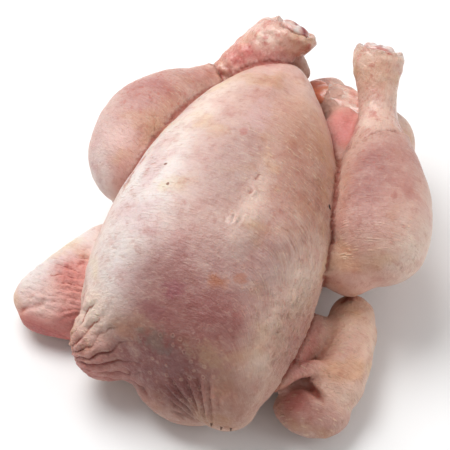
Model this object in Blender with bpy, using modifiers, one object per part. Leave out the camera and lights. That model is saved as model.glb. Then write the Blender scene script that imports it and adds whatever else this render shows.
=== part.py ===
"""A whole raw chicken, dressed for the oven: plucked, with head, neck and feet off.

It lies on its back with the breast up, its legs lying beside the body and its wings
folded. Metres, +Z up, +X to the bird's own right, -Y at the neck end, +Y at the tail.
The origin lies under the middle of the bird, on the surface that it rests on.

Each muscle mass and each limb is a sphere whose rings are carried along a bone line,
to the section that the mass has there. The masses run into each other under the skin,
so they are remeshed as one body, smoothed where the skin spans a hollow, and cut flat
along the back, where the weight of the bird presses it flat.
"""

import bpy
import numpy as np

MM = 0.001
UNIT = 0.92 * MM            # one station unit, which sets the size of the whole bird

# Driving dimensions, in station units
BREAST_HALF_WIDTH = 59.0
BREAST_HEIGHT = 109.0
BACK_HALF_WIDTH = 52.0
THIGH_RADIUS = 30.0
DRUM_RADIUS = 27.5
ANKLE_RADIUS = 12.0
KNUCKLE_RADIUS = 13.5
WING_RADIUS = 13.0
NECK_EDGE_SLANT = 0.16      # how much further forward the neck edge is on the right
RIGHT_CUT = (-0.15, -0.45)  # slants of the cut through the hock, across and aloft
LEFT_CUT = (0.4, -0.4)
FLAT_HEIGHT = 1.2           # how far the back is pressed flat
SKIN_GRID = 2.0 * MM        # grid on which the masses become one skin
SKIN_ROUNDS = 9             # rounds of smoothing where the skin spans a hollow
TRIANGLE_SHARE = 0.09       # share of the skin's triangles that is kept

SKIN_COLOUR = (0.66, 0.45, 0.38, 1.0)
SKIN_ROUGHNESS = 0.45


def through(keys, rows, at):
    """Return smooth values through the rows that stand at the keys, read at each place."""
    keys = np.asarray(keys, float)
    rows = np.asarray(rows, float)
    spans = np.diff(keys)
    rates = np.diff(rows, axis=0) / spans[:, None]
    slopes = np.vstack([rates[:1], np.zeros_like(rows[1:-1]), rates[-1:]])
    before, after = spans[:-1, None], spans[1:, None]
    slopes[1:-1] = (rates[:-1] * after + rates[1:] * before) / (before + after)
    at = np.clip(np.asarray(at, float), keys[0], keys[-1])
    first = np.clip(np.searchsorted(keys, at, side="right") - 1, 0, len(spans) - 1)
    span = spans[first][:, None]
    t = ((at - keys[first]) / spans[first])[:, None]
    start = (2 * t**3 - 3 * t**2 + 1) * rows[first] + (t**3 - 2 * t**2 + t) * span * slopes[first]
    end = (3 * t**2 - 2 * t**3) * rows[first + 1] + (t**3 - t**2) * span * slopes[first + 1]
    return start + end


def rounding(share, start, end):
    """Return how full a section is, where the two ends round off over a share of the length."""
    full = np.ones_like(share)
    near = share < start
    far = share > 1 - end
    full[near] = np.sqrt(1 - (1 - share[near] / start) ** 2)
    full[far] = np.sqrt(np.maximum(0, 1 - ((share[far] - 1 + end) / end) ** 2))
    return full


def carried_sphere(name, segments, rings, place):
    """Add a sphere and carry its vertices to place(share along it, angle round it)."""
    bpy.ops.mesh.primitive_uv_sphere_add(segments=segments, ring_count=rings, radius=1)
    piece = bpy.context.object
    piece.name = name
    points = np.empty(len(piece.data.vertices) * 3)
    piece.data.vertices.foreach_get("co", points)
    points = points.reshape(-1, 3)
    share = (1 + np.clip(points[:, 2], -1, 1)) / 2
    angle = np.arctan2(points[:, 1], points[:, 0])
    piece.data.vertices.foreach_set("co", (place(share, angle) * UNIT).ravel())
    piece.data.update()
    return piece


def body_mass(name, stations, start, end):
    """Add a mass of the trunk. Its stations run from neck to tail.

    A station is y, middle x, half width, height where it is widest, top, bottom, and the
    fullness of its upper and lower half, where 2 is an ellipse and more is squarer.
    """
    rows = np.array(stations, float)

    def place(share, angle):
        y = rows[0, 0] + (rows[-1, 0] - rows[0, 0]) * share
        middle, half, widest, top, bottom, upper, lower = through(rows[:, 0], rows[:, 1:], y).T
        full = rounding(share, start, end)
        across, aloft = np.cos(angle), np.sin(angle)
        power = 2 / np.where(aloft >= 0, upper, lower)
        reach = np.where(aloft >= 0, top - widest, widest - bottom)
        x = middle + half * full * np.sign(across) * np.abs(across) ** power
        z = widest + reach * full * np.sign(aloft) * np.abs(aloft) ** power
        return np.column_stack([x, y, z])

    return carried_sphere(name, 64, 60, place)


def limb(name, stations, start, end, cut=(0.0, 0.0)):
    """Add a limb, whose far end may be cut on the slant, across and aloft.

    A station is a point on the bone and the half widths across and aloft.
    """
    rows = np.array([(*point, across, aloft) for point, across, aloft in stations], float)
    steps = np.linalg.norm(np.diff(rows[:, :3], axis=0), axis=1)
    keys = np.concatenate([[0], np.cumsum(steps)]) / steps.sum()

    def place(share, angle):
        at = through(keys, rows, share)
        nudge = 0.001
        along = through(keys, rows, share + nudge)[:, :3] - through(keys, rows, share - nudge)[:, :3]
        along /= np.linalg.norm(along, axis=1)[:, None]
        side = np.cross(along, (0, 0, 1))
        side /= np.linalg.norm(side, axis=1)[:, None]
        aloft = np.cross(side, along)
        full = rounding(share, start, end)
        across = np.cos(angle) * at[:, 3] * full
        upward = np.sin(angle) * at[:, 4] * full
        slant = np.clip((share - 0.8) / 0.2, 0, 1) * (cut[0] * across + cut[1] * upward)
        return at[:, :3] + side * across[:, None] + aloft * upward[:, None] + along * slant[:, None]

    return carried_sphere(name, 32, 40, place)


def swelling(name, centre, radii):
    """Add a rounded swelling under the skin."""
    bpy.ops.mesh.primitive_uv_sphere_add(segments=32, ring_count=20, radius=1)
    piece = bpy.context.object
    piece.name = name
    piece.scale = [radius * UNIT for radius in radii]
    piece.location = [place * UNIT for place in centre]
    bpy.ops.object.transform_apply(location=True, rotation=True, scale=True)
    return piece


def breast():
    """The breast muscles over the keel, widest near the shoulders, pointed at the tail end."""
    wide, high = BREAST_HALF_WIDTH, BREAST_HEIGHT
    piece = body_mass("breast", [
        (-103, 4, 0.61 * wide, 36, 0.46 * high, 18, 2.2, 2.0),
        (-97, 2, 0.78 * wide, 39, 0.59 * high, 12, 2.15, 2.0),
        (-85, 2, 0.90 * wide, 44, 0.73 * high, 7, 2.2, 2.2),
        (-67, 2, 0.98 * wide, 50, 0.86 * high, 4, 2.25, 2.4),
        (-46, 3, wide, 55, 0.945 * high, 2, 2.2, 2.6),
        (-22, 3, wide, 59, 0.99 * high, 2, 2.15, 2.8),
        (2, 3, 0.95 * wide, 62, high, 2, 2.1, 2.8),
        (28, 2, 0.87 * wide, 64, 0.975 * high, 4, 2.0, 2.6),
        (54, 1, 0.73 * wide, 67, 0.91 * high, 12, 1.95, 2.4),
        (76, 0, 0.54 * wide, 69, 0.835 * high, 28, 1.95, 2.2),
        (94, -1, 0.34 * wide, 70, 0.76 * high, 46, 2.0, 2.0),
        (104, -1, 0.20 * wide, 71, 0.715 * high, 58, 2.0, 2.0),
    ], start=0.07, end=0.05)
    middle, slant_from, slant_over = 4 * UNIT, -30 * UNIT, 60 * UNIT
    for vertex in piece.data.vertices:
        share = min(1, max(0, (slant_from - vertex.co.y) / slant_over))
        vertex.co.y -= NECK_EDGE_SLANT * share * (vertex.co.x - middle)
    return piece


def back():
    """The back under the breast, with the hips at its widest."""
    wide = BACK_HALF_WIDTH
    return body_mass("back", [
        (-90, 4, 0.69 * wide, 22, 40, 4, 2.2, 2.6),
        (-60, 4, 0.88 * wide, 24, 50, 0, 2.3, 3.2),
        (0, 4, 0.92 * wide, 26, 55, -1.5, 2.3, 3.4),
        (50, 4, wide, 28, 56, -1.5, 2.3, 3.2),
        (85, 5, 0.88 * wide, 26, 50, 0, 2.2, 2.8),
        (108, 8, 0.58 * wide, 22, 38, 6, 2.0, 2.2),
    ], start=0.1, end=0.1)


def neck_and_tail():
    """The folded skin at the neck edge, the tail and the fat and the slack skin beside it."""
    return [
        swelling("shoulder_left", (-35, -80, 32), (20, 21, 23)),
        swelling("shoulder_right", (35, -95, 34), (18, 15, 21)),
        swelling("crop_skin", (11, -92, 21), (25, 14, 16)),
        limb("tail", [
            ((3, 94, 20), 26, 13),
            ((3, 111, 23), 19, 11),
            ((2, 123, 29), 13, 9),
            ((2, 130, 34), 8, 6),
        ], start=0.1, end=0.25),
        swelling("vent_skin", (-14, 96, 36), (20, 20, 15)),
        swelling("vent_lip", (33, 106, 53), (14, 12, 11)),
        limb("vent_fat", [
            ((8, 88, 32), 22, 14),
            ((16, 104, 40), 18, 12),
            ((23, 119, 48), 13, 9),
            ((26, 127, 52), 9, 6),
        ], start=0.1, end=0.25),
        limb("hock_skin", [
            ((-4, 112, 78), 7, 7),
            ((2, 113, 68), 7, 7),
            ((8, 111, 58), 7, 7),
        ], start=0.2, end=0.2),
    ]


def legs():
    """Both legs: the thigh under the drumstick, the hip, and the shin cut off at the hock."""
    thigh, drum, ankle, knuckle = THIGH_RADIUS, DRUM_RADIUS, ANKLE_RADIUS, KNUCKLE_RADIUS
    return [
        limb("thigh_right", [
            ((48, 104, 35), 0.6 * thigh, 0.7 * thigh),
            ((50, 80, 35), 0.87 * thigh, 0.87 * thigh),
            ((58, 50, 38), thigh, thigh),
            ((70, 18, 43), thigh, 1.03 * thigh),
            ((74, -3, 46), 0.77 * thigh, 0.83 * thigh),
        ], start=0.25, end=0.25),
        limb("drumstick_right", [
            ((79, -13, 50), 0.73 * drum, 0.78 * drum),
            ((81, 8, 57), drum, 0.98 * drum),
            ((76, 36, 61), 0.98 * drum, 0.98 * drum),
            ((67, 62, 67), 0.71 * drum, 0.73 * drum),
            ((59, 85, 72), ankle, ankle),
            ((55, 97, 78), ankle, ankle),
            ((51, 108, 85), 1.07 * knuckle, 0.93 * knuckle),
            ((49, 119, 91), 1.15 * knuckle, 0.96 * knuckle),
        ], start=0.16, end=0.02, cut=RIGHT_CUT),
        swelling("hip_right", (60, 90, 44), (21, 22, 23)),
        swelling("inner_thigh_right", (41, 86, 49), (14, 22, 17)),
        swelling("knee_right", (71, -6, 50), (17, 13, 18)),
        limb("thigh_left", [
            ((-36, 102, 33), 0.6 * thigh, 0.7 * thigh),
            ((-41, 78, 34), 0.87 * thigh, 0.87 * thigh),
            ((-47, 48, 38), thigh, thigh),
            ((-57, 18, 42), 0.97 * thigh, thigh),
            ((-63, 2, 43), 0.8 * thigh, 0.83 * thigh),
        ], start=0.25, end=0.25),
        limb("drumstick_left", [
            ((-64, -3, 48), 0.73 * drum, 0.76 * drum),
            ((-62.5, 18, 55), 0.95 * drum, 0.96 * drum),
            ((-59.5, 42, 61), 1.02 * drum, drum),
            ((-52, 64, 62), 0.84 * drum, 0.8 * drum),
            ((-42, 80, 62), 0.58 * drum, 0.56 * drum),
            ((-35, 90, 64), 0.92 * ankle, 0.92 * ankle),
            ((-25, 101, 72), 1.08 * ankle, 1.08 * ankle),
            ((-11, 111, 82), 1.22 * knuckle, 1.11 * knuckle),
            ((0, 119, 91), 1.26 * knuckle, 1.11 * knuckle),
        ], start=0.16, end=0.02, cut=LEFT_CUT),
        swelling("hip_left", (-46, 86, 40), (21, 24, 24)),
    ]


def wings():
    """Both wings, folded: upper arm along the body, forearm back beside it, hand tucked in."""
    arm = WING_RADIUS
    return [
        limb("upper_arm_right", [
            ((46, -74, 24), 0.77 * arm, 0.77 * arm),
            ((54, -58, 25), 0.77 * arm, 0.77 * arm),
            ((59, -43, 24), 0.73 * arm, 0.73 * arm),
            ((66, -22, 20), 0.77 * arm, 0.77 * arm),
        ], start=0.2, end=0.2),
        limb("forearm_right", [
            ((74, -2, 20), 0.92 * arm, 0.88 * arm),
            ((80, -22, 20), arm, 0.96 * arm),
            ((83, -42, 20), 1.04 * arm, arm),
            ((84, -60, 20), 1.08 * arm, arm),
            ((83, -73, 18), arm, 0.88 * arm),
        ], start=0.16, end=0.16),
        limb("hand_right", [
            ((84, -64, 17), arm, 0.85 * arm),
            ((81, -73, 16), 1.12 * arm, 0.81 * arm),
            ((71, -75, 14), 1.12 * arm, 0.65 * arm),
            ((56, -67, 9), 0.69 * arm, 0.38 * arm),
        ], start=0.2, end=0.2),
        swelling("web_right", (68, -56, 11), (15, 18, 8)),
        limb("web_edge_right", [
            ((48, -80, 27), 0.46 * arm, 0.46 * arm),
            ((56, -73, 30), 0.31 * arm, 0.35 * arm),
            ((64, -65, 32), 0.27 * arm, 0.31 * arm),
            ((75, -57, 30), 0.35 * arm, 0.35 * arm),
        ], start=0.1, end=0.1),
        limb("upper_arm_left", [
            ((-36, -70, 36), 1.23 * arm, 1.23 * arm),
            ((-45, -50, 32), 1.15 * arm, 1.15 * arm),
            ((-54, -30, 26), arm, arm),
            ((-58, -12, 22), 0.92 * arm, 0.92 * arm),
        ], start=0.2, end=0.2),
        limb("forearm_left", [
            ((-59, -2, 20), 0.92 * arm, 0.85 * arm),
            ((-69, -19, 20), 1.04 * arm, 0.92 * arm),
            ((-77, -36, 20), 1.04 * arm, 0.96 * arm),
            ((-86, -53, 18), arm, 0.92 * arm),
            ((-97, -67, 15), 0.77 * arm, 0.77 * arm),
        ], start=0.16, end=0.16),
        limb("hand_left", [
            ((-94, -62, 14), 0.85 * arm, 0.73 * arm),
            ((-81, -64, 15), arm, 0.85 * arm),
            ((-66, -63, 14), arm, 0.77 * arm),
            ((-50, -60, 10), 0.69 * arm, 0.54 * arm),
        ], start=0.2, end=0.2),
        swelling("web_left", (-70, -52, 20), (20, 23, 14)),
    ]


def skin_material():
    """Raw skin over pink flesh."""
    material = bpy.data.materials.new("raw_skin")
    material.use_nodes = True
    shader = material.node_tree.nodes["Principled BSDF"]
    shader.inputs["Base Color"].default_value = SKIN_COLOUR
    shader.inputs["Roughness"].default_value = SKIN_ROUGHNESS
    shader.inputs["Metallic"].default_value = 0.0
    return material


def join(pieces, name):
    """Join the masses in one object. They still overlap until it is remeshed."""
    bpy.ops.object.select_all(action="DESELECT")
    for piece in pieces:
        piece.select_set(True)
    bpy.context.view_layer.objects.active = pieces[0]
    bpy.ops.object.join()
    joined = bpy.context.object
    joined.name = name
    joined.data.name = name
    return joined


def in_collection(piece, collection):
    """Move an object from the scene's own collection to this one."""
    for other in list(piece.users_collection):
        other.objects.unlink(piece)
    collection.objects.link(piece)


def chicken():
    """The whole bird as one skin."""
    bird = join([breast(), back(), *neck_and_tail(), *legs(), *wings()], "chicken")
    bird.data.materials.append(skin_material())
    parts = bpy.data.collections.new("raw_chicken")
    cutters = bpy.data.collections.new("cutters")
    bpy.context.scene.collection.children.link(parts)
    bpy.context.scene.collection.children.link(cutters)
    in_collection(bird, parts)

    skin = bird.modifiers.new("skin", "REMESH")
    skin.mode = "VOXEL"
    skin.voxel_size = SKIN_GRID
    skin.use_smooth_shade = True
    taut = bird.modifiers.new("taut", "SMOOTH")
    taut.factor = 0.5
    taut.iterations = SKIN_ROUNDS
    facets = bird.modifiers.new("facets", "DECIMATE")
    facets.ratio = TRIANGLE_SHARE

    bpy.ops.mesh.primitive_cube_add(size=1)
    surface = bpy.context.object
    surface.name = "surface"
    surface.scale = (0.6, 0.6, 0.1)
    surface.location = (0, 0, FLAT_HEIGHT * UNIT - 0.05)
    bpy.ops.object.transform_apply(location=True, rotation=True, scale=True)
    surface.hide_render = True
    surface.display_type = "WIRE"
    in_collection(surface, cutters)
    flat = bird.modifiers.new("flat_back", "BOOLEAN")
    flat.operation = "DIFFERENCE"
    flat.object = surface

    bpy.context.view_layer.update()
    shape = bird.evaluated_get(bpy.context.evaluated_depsgraph_get())
    corners = np.array(shape.bound_box)
    middle = (corners.min(axis=0) + corners.max(axis=0)) / 2
    for piece in (bird, surface):
        piece.location = (-middle[0], -middle[1], -FLAT_HEIGHT * UNIT)
    return bird


for leftover in list(bpy.data.objects):
    bpy.data.objects.remove(leftover, do_unlink=True)
chicken()
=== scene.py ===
import math

import bpy
import numpy as np
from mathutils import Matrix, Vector, noise
from mathutils.kdtree import KDTree


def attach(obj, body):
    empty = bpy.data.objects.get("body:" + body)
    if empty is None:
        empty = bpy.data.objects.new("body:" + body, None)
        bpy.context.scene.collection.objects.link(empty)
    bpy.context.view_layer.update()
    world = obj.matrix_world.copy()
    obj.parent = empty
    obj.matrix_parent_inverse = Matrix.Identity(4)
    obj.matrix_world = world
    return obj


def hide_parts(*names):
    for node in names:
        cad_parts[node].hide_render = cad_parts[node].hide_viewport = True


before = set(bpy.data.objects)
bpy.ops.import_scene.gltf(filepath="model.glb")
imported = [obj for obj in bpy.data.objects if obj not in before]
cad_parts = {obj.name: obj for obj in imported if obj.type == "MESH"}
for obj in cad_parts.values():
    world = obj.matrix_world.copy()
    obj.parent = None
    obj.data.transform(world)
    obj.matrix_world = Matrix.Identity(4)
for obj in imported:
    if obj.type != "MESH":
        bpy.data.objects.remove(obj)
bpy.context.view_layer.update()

# Camera. It stands over the neck end, a little to the bird's own right, and looks down
# on the breast, so that the legs point away from it.
MM = 0.001
UNIT = 0.92 * MM
KEEL_POINT = np.array([-3.74, -9.63, -1.1]) * MM
CAMERA_AZIMUTH = math.radians(20)
CAMERA_ELEVATION = math.radians(50)
CAMERA_DISTANCE = 850 * UNIT
CAMERA_SPAN = 243 * UNIT
CAMERA_TARGET = Vector(KEEL_POINT) + Vector((0, 0, 50 * UNIT))

camera_data = bpy.data.cameras.new("camera")
camera = bpy.data.objects.new("camera", camera_data)
bpy.context.scene.collection.objects.link(camera)
bpy.context.scene.camera = camera
towards_camera = Vector((
    math.sin(CAMERA_AZIMUTH) * math.cos(CAMERA_ELEVATION),
    -math.cos(CAMERA_AZIMUTH) * math.cos(CAMERA_ELEVATION),
    math.sin(CAMERA_ELEVATION),
))
camera.location = CAMERA_TARGET + towards_camera * CAMERA_DISTANCE
camera.rotation_mode = "QUATERNION"
camera.rotation_quaternion = towards_camera.to_track_quat("Z", "Y")
camera_data.sensor_width = 36
camera_data.lens = 36 * CAMERA_DISTANCE / CAMERA_SPAN
camera_data.clip_start = 0.01

# Trunk. The breast muscles over the keel bone, the back under them, the skin folded over
# the two shoulders, and the tail with the fat beside it. Each mass is a sphere whose rings
# are carried along the bird, to the section that the real mass has there.
BREAST_HALF_WIDTH = 59.0
BREAST_HEIGHT = 109.0
BACK_HALF_WIDTH = 52.0
NECK_EDGE_SLANT = 0.16

masses = []
mass_points = {}


def through(keys, rows, at):
    """Return smooth values through the rows that stand at the keys, read at each place."""
    keys = np.asarray(keys, float)
    rows = np.asarray(rows, float)
    spans = np.diff(keys)
    rates = np.diff(rows, axis=0) / spans[:, None]
    slopes = np.vstack([rates[:1], np.zeros_like(rows[1:-1]), rates[-1:]])
    before, after = spans[:-1, None], spans[1:, None]
    slopes[1:-1] = (rates[:-1] * after + rates[1:] * before) / (before + after)
    at = np.clip(np.asarray(at, float), keys[0], keys[-1])
    first = np.clip(np.searchsorted(keys, at, side="right") - 1, 0, len(spans) - 1)
    span = spans[first][:, None]
    t = ((at - keys[first]) / spans[first])[:, None]
    start = (2 * t**3 - 3 * t**2 + 1) * rows[first] + (t**3 - 2 * t**2 + t) * span * slopes[first]
    end = (3 * t**2 - 2 * t**3) * rows[first + 1] + (t**3 - t**2) * span * slopes[first + 1]
    return start + end


def rounding(share, start, end):
    """Return how full a section is, where the two ends round off over a share of the length."""
    full = np.ones_like(share)
    near = share < start
    far = share > 1 - end
    full[near] = np.sqrt(1 - (1 - share[near] / start) ** 2)
    full[far] = np.sqrt(np.maximum(0, 1 - ((share[far] - 1 + end) / end) ** 2))
    return full


def carried_sphere(group, segments, rings, place):
    """Add a sphere and carry its vertices to place(share along it, angle round it)."""
    bpy.ops.mesh.primitive_uv_sphere_add(segments=segments, ring_count=rings, radius=1)
    piece = bpy.context.object
    points = np.empty(len(piece.data.vertices) * 3)
    piece.data.vertices.foreach_get("co", points)
    points = points.reshape(-1, 3)
    share = (1 + np.clip(points[:, 2], -1, 1)) / 2
    angle = np.arctan2(points[:, 1], points[:, 0])
    points = place(share, angle)
    piece.data.vertices.foreach_set("co", (points * UNIT + KEEL_POINT).ravel())
    masses.append(piece)
    mass_points.setdefault(group, []).append(points)


def body_mass(stations, start, end, slant=0.0):
    """Add a mass of the trunk. Its stations run from neck to tail.

    A station is y, middle x, half width, height where it is widest, top, bottom, and the
    fullness of its upper and lower half, where 2 is an ellipse and more is squarer.
    """
    rows = np.array(stations, float)
    slant_from, slant_over = -30, 60

    def place(share, angle):
        y = rows[0, 0] + (rows[-1, 0] - rows[0, 0]) * share
        middle, half, widest, top, bottom, upper, lower = through(rows[:, 0], rows[:, 1:], y).T
        full = rounding(share, start, end)
        across, aloft = np.cos(angle), np.sin(angle)
        power = 2 / np.where(aloft >= 0, upper, lower)
        reach = np.where(aloft >= 0, top - widest, widest - bottom)
        x = middle + half * full * np.sign(across) * np.abs(across) ** power
        z = widest + reach * full * np.sign(aloft) * np.abs(aloft) ** power
        y = y - slant * np.clip((slant_from - y) / slant_over, 0, 1) * (x - 4)
        return np.column_stack([x, y, z])

    carried_sphere("trunk", 120, 120, place)


def limb(group, stations, start, end, cut=(0.0, 0.0)):
    """Add a limb. A station is a point on the bone and the half widths across and aloft."""
    rows = np.array([(*point, across, aloft) for point, across, aloft in stations], float)
    steps = np.linalg.norm(np.diff(rows[:, :3], axis=0), axis=1)
    keys = np.concatenate([[0], np.cumsum(steps)]) / steps.sum()
    nudge = 0.001

    def place(share, angle):
        at = through(keys, rows, share)
        along = through(keys, rows, share + nudge)[:, :3] - through(keys, rows, share - nudge)[:, :3]
        along /= np.linalg.norm(along, axis=1)[:, None]
        side = np.cross(along, (0, 0, 1))
        side /= np.linalg.norm(side, axis=1)[:, None]
        aloft = np.cross(side, along)
        full = rounding(share, start, end)
        across = np.cos(angle) * at[:, 3] * full
        upward = np.sin(angle) * at[:, 4] * full
        slant = np.clip((share - 0.8) / 0.2, 0, 1) * (cut[0] * across + cut[1] * upward)
        return at[:, :3] + side * across[:, None] + aloft * upward[:, None] + along * slant[:, None]

    carried_sphere(group, 56, 64, place)


def cut_face(stations, cut):
    """Return the middle of a limb's cut end, the way it faces, and two directions across it."""
    middle, before = np.array(stations[-1][0], float), np.array(stations[-2][0], float)
    along = (middle - before) / np.linalg.norm(middle - before)
    side = np.cross(along, (0, 0, 1))
    side /= np.linalg.norm(side)
    aloft = np.cross(side, along)
    facing = along - cut[0] * side - cut[1] * aloft
    facing /= np.linalg.norm(facing)
    side -= facing * (side @ facing)
    side /= np.linalg.norm(side)
    return middle, facing, side, np.cross(side, facing)


def swelling(group, centre, radii):
    """Add a rounded swelling under the skin."""

    def place(share, angle):
        height = share * 2 - 1
        reach = np.sqrt(np.maximum(0, 1 - height**2))
        ball = np.column_stack([np.cos(angle) * reach, np.sin(angle) * reach, height])
        return np.array(centre, float) + ball * np.array(radii, float)

    carried_sphere(group, 40, 32, place)


wide, high = BREAST_HALF_WIDTH, BREAST_HEIGHT
body_mass([
    (-103, 4, 0.61 * wide, 36, 0.46 * high, 18, 2.2, 2.0),
    (-97, 2, 0.78 * wide, 39, 0.59 * high, 12, 2.15, 2.0),
    (-85, 2, 0.90 * wide, 44, 0.73 * high, 7, 2.2, 2.2),
    (-67, 2, 0.98 * wide, 50, 0.86 * high, 4, 2.25, 2.4),
    (-46, 3, wide, 55, 0.945 * high, 2, 2.2, 2.6),
    (-22, 3, wide, 59, 0.99 * high, 2, 2.15, 2.8),
    (2, 3, 0.95 * wide, 62, high, 2, 2.1, 2.8),
    (28, 2, 0.87 * wide, 64, 0.975 * high, 4, 2.0, 2.6),
    (54, 1, 0.73 * wide, 67, 0.91 * high, 12, 1.95, 2.4),
    (76, 0, 0.54 * wide, 69, 0.835 * high, 28, 1.95, 2.2),
    (94, -1, 0.34 * wide, 70, 0.76 * high, 46, 2.0, 2.0),
    (104, -1, 0.20 * wide, 71, 0.715 * high, 58, 2.0, 2.0),
], start=0.07, end=0.05, slant=NECK_EDGE_SLANT)
wide = BACK_HALF_WIDTH
body_mass([
    (-90, 4, 0.69 * wide, 22, 40, 4, 2.2, 2.6),
    (-60, 4, 0.88 * wide, 24, 50, 0, 2.3, 3.2),
    (0, 4, 0.92 * wide, 26, 55, -1.5, 2.3, 3.4),
    (50, 4, wide, 28, 56, -1.5, 2.3, 3.2),
    (85, 5, 0.88 * wide, 26, 50, 0, 2.2, 2.8),
    (108, 8, 0.58 * wide, 22, 38, 6, 2.0, 2.2),
], start=0.1, end=0.1)
swelling("trunk", (-35, -80, 32), (20, 21, 23))
swelling("trunk", (35, -95, 34), (18, 15, 21))
swelling("trunk", (11, -92, 21), (25, 14, 16))
swelling("tail", (-14, 96, 36), (20, 20, 15))
swelling("tail", (33, 106, 53), (14, 12, 11))
limb("tail", [
    ((3, 94, 20), 26, 13),
    ((3, 111, 23), 19, 11),
    ((2, 123, 29), 13, 9),
    ((2, 130, 34), 8, 6),
], start=0.1, end=0.25)
limb("tail", [
    ((8, 88, 32), 22, 14),
    ((16, 104, 40), 18, 12),
    ((23, 119, 48), 13, 9),
    ((26, 127, 52), 9, 6),
], start=0.1, end=0.25)
limb("tail", [
    ((-4, 112, 78), 7, 7),
    ((2, 113, 68), 7, 7),
    ((8, 111, 58), 7, 7),
], start=0.2, end=0.2)

# Legs. The thigh lies under the drumstick, which is thick at the knee and runs out to the
# bare shin, cut off square through the hock joint.
THIGH_RADIUS = 30.0
DRUM_RADIUS = 27.5
ANKLE_RADIUS = 12.0
KNUCKLE_RADIUS = 13.5
RIGHT_CUT = (-0.15, -0.45)   # slants of the cut through the hock, across and aloft
LEFT_CUT = (0.4, -0.4)

thigh, drum, ankle, knuckle = THIGH_RADIUS, DRUM_RADIUS, ANKLE_RADIUS, KNUCKLE_RADIUS
right_shin = [
    ((79, -13, 50), 0.73 * drum, 0.78 * drum),
    ((81, 8, 57), drum, 0.98 * drum),
    ((76, 36, 61), 0.98 * drum, 0.98 * drum),
    ((67, 62, 67), 0.71 * drum, 0.73 * drum),
    ((59, 85, 72), ankle, ankle),
    ((55, 97, 78), ankle, ankle),
    ((51, 108, 85), 1.07 * knuckle, 0.93 * knuckle),
    ((49, 119, 91), 1.15 * knuckle, 0.96 * knuckle),
]
left_shin = [
    ((-64, -3, 48), 0.73 * drum, 0.76 * drum),
    ((-62.5, 18, 55), 0.95 * drum, 0.96 * drum),
    ((-59.5, 42, 61), 1.02 * drum, drum),
    ((-52, 64, 62), 0.84 * drum, 0.8 * drum),
    ((-42, 80, 62), 0.58 * drum, 0.56 * drum),
    ((-35, 90, 64), 0.92 * ankle, 0.92 * ankle),
    ((-25, 101, 72), 1.08 * ankle, 1.08 * ankle),
    ((-11, 111, 82), 1.22 * knuckle, 1.11 * knuckle),
    ((0, 119, 91), 1.26 * knuckle, 1.11 * knuckle),
]
limb("right leg", right_shin, start=0.16, end=0.02, cut=RIGHT_CUT)
limb("right leg", [
    ((48, 104, 35), 0.6 * thigh, 0.7 * thigh),
    ((50, 80, 35), 0.87 * thigh, 0.87 * thigh),
    ((58, 50, 38), thigh, thigh),
    ((70, 18, 43), thigh, 1.03 * thigh),
    ((74, -3, 46), 0.77 * thigh, 0.83 * thigh),
], start=0.25, end=0.25)
swelling("right leg", (60, 90, 44), (21, 22, 23))
swelling("right leg", (41, 86, 49), (14, 22, 17))
swelling("right leg", (71, -6, 50), (17, 13, 18))
limb("left leg", left_shin, start=0.16, end=0.02, cut=LEFT_CUT)
limb("left leg", [
    ((-36, 102, 33), 0.6 * thigh, 0.7 * thigh),
    ((-41, 78, 34), 0.87 * thigh, 0.87 * thigh),
    ((-47, 48, 38), thigh, thigh),
    ((-57, 18, 42), 0.97 * thigh, thigh),
    ((-63, 2, 43), 0.8 * thigh, 0.83 * thigh),
], start=0.25, end=0.25)
swelling("left leg", (-46, 86, 40), (21, 24, 24))

# Wings. Each is folded in three: the upper arm along the body, the forearm back beside it
# to the wrist, and the hand tucked in under the shoulder, with a web of skin between.
WING_RADIUS = 13.0

arm = WING_RADIUS
limb("right wing", [
    ((46, -74, 24), 0.77 * arm, 0.77 * arm),
    ((54, -58, 25), 0.77 * arm, 0.77 * arm),
    ((59, -43, 24), 0.73 * arm, 0.73 * arm),
    ((66, -22, 20), 0.77 * arm, 0.77 * arm),
], start=0.2, end=0.2)
limb("right wing", [
    ((74, -2, 20), 0.92 * arm, 0.88 * arm),
    ((80, -22, 20), arm, 0.96 * arm),
    ((83, -42, 20), 1.04 * arm, arm),
    ((84, -60, 20), 1.08 * arm, arm),
    ((83, -73, 18), arm, 0.88 * arm),
], start=0.16, end=0.16)
limb("right wing", [
    ((84, -64, 17), arm, 0.85 * arm),
    ((81, -73, 16), 1.12 * arm, 0.81 * arm),
    ((71, -75, 14), 1.12 * arm, 0.65 * arm),
    ((56, -67, 9), 0.69 * arm, 0.38 * arm),
], start=0.2, end=0.2)
swelling("right wing", (68, -56, 11), (15, 18, 8))
limb("right wing", [
    ((48, -80, 27), 0.46 * arm, 0.46 * arm),
    ((56, -73, 30), 0.31 * arm, 0.35 * arm),
    ((64, -65, 32), 0.27 * arm, 0.31 * arm),
    ((75, -57, 30), 0.35 * arm, 0.35 * arm),
], start=0.1, end=0.1)
limb("left wing", [
    ((-36, -70, 36), 1.23 * arm, 1.23 * arm),
    ((-45, -50, 32), 1.15 * arm, 1.15 * arm),
    ((-54, -30, 26), arm, arm),
    ((-58, -12, 22), 0.92 * arm, 0.92 * arm),
], start=0.2, end=0.2)
limb("left wing", [
    ((-59, -2, 20), 0.92 * arm, 0.85 * arm),
    ((-69, -19, 20), 1.04 * arm, 0.92 * arm),
    ((-77, -36, 20), 1.04 * arm, 0.96 * arm),
    ((-86, -53, 18), arm, 0.92 * arm),
    ((-97, -67, 15), 0.77 * arm, 0.77 * arm),
], start=0.16, end=0.16)
limb("left wing", [
    ((-94, -62, 14), 0.85 * arm, 0.73 * arm),
    ((-81, -64, 15), arm, 0.85 * arm),
    ((-66, -63, 14), arm, 0.77 * arm),
    ((-50, -60, 10), 0.69 * arm, 0.54 * arm),
], start=0.2, end=0.2)
swelling("left wing", (-70, -52, 20), (20, 23, 14))

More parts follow.
